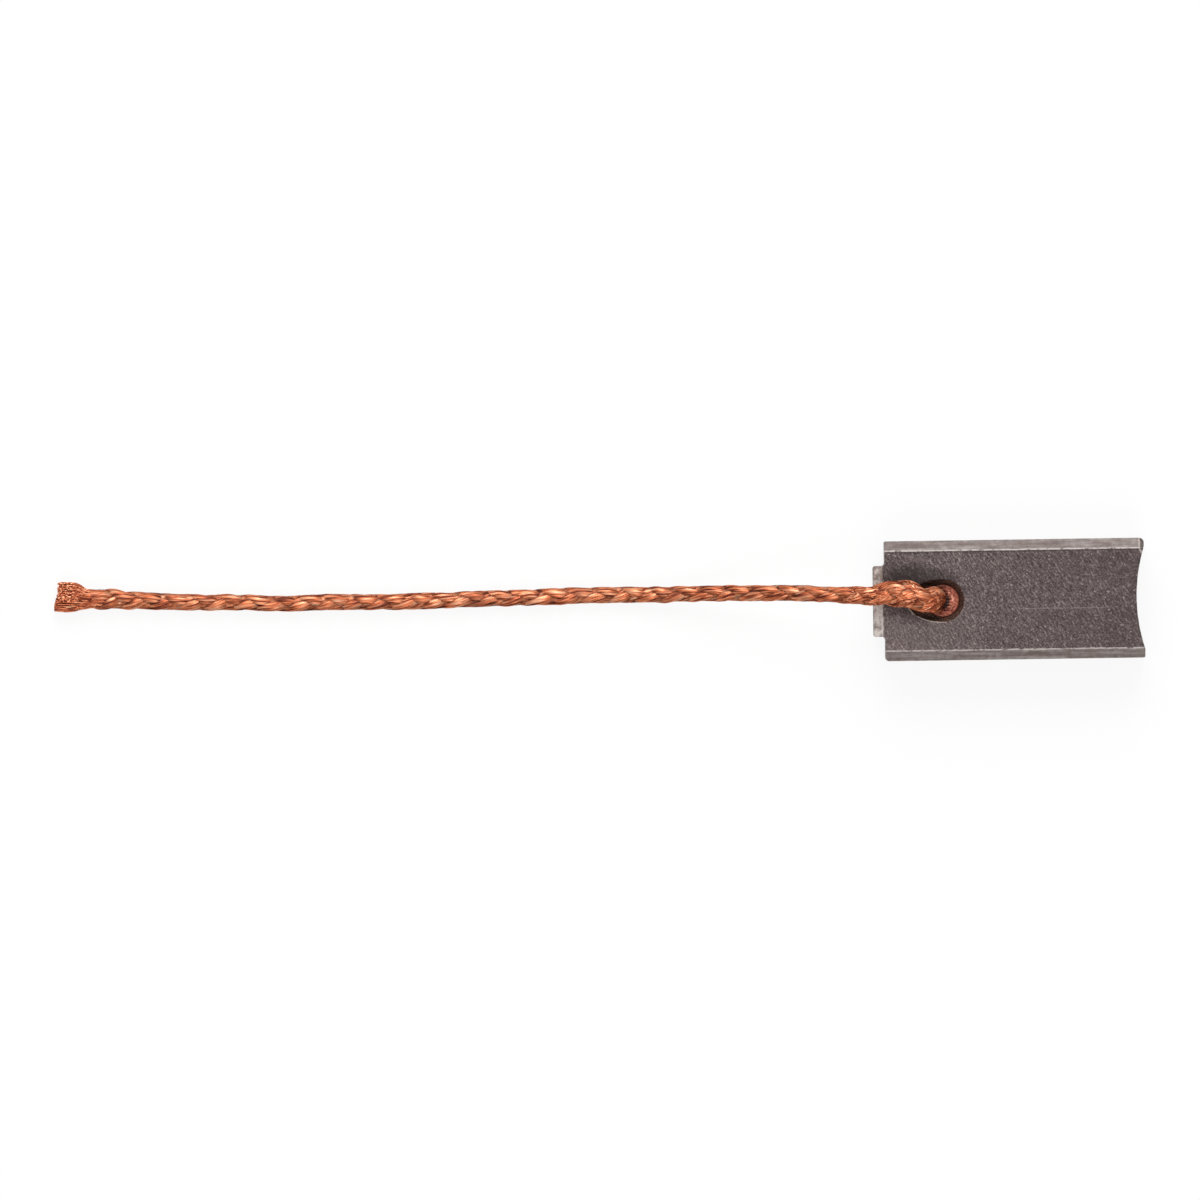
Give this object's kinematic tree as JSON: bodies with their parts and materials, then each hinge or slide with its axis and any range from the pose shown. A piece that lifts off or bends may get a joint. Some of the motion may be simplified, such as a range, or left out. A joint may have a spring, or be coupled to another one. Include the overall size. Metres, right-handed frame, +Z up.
{
  "type": "carbon brush",
  "caption": "Rectangular carbon brush with bevelled long edges, a spring boss, a concave contact face and a bare copper braid tamped into its top.",
  "frame": {"origin": "middle of the underside of the block and its boss, where the block lies on its back face", "axes": "+X along the block towards its contact face, +Y across the two sliding sides, +Z up out of the face that the braid leaves"},
  "size_m": [0.1092, 0.012, 0.0092],
  "materials": {
    "carbon": "matte",
    "copper_powder": "matte",
    "copper_braid": "satin"
  },
  "bodies": {
    "root": {"carbon_block": "carbon", "tamped_fill": "copper_powder", "shunt_braid": "copper_braid"}
  },
  "joints": []
}
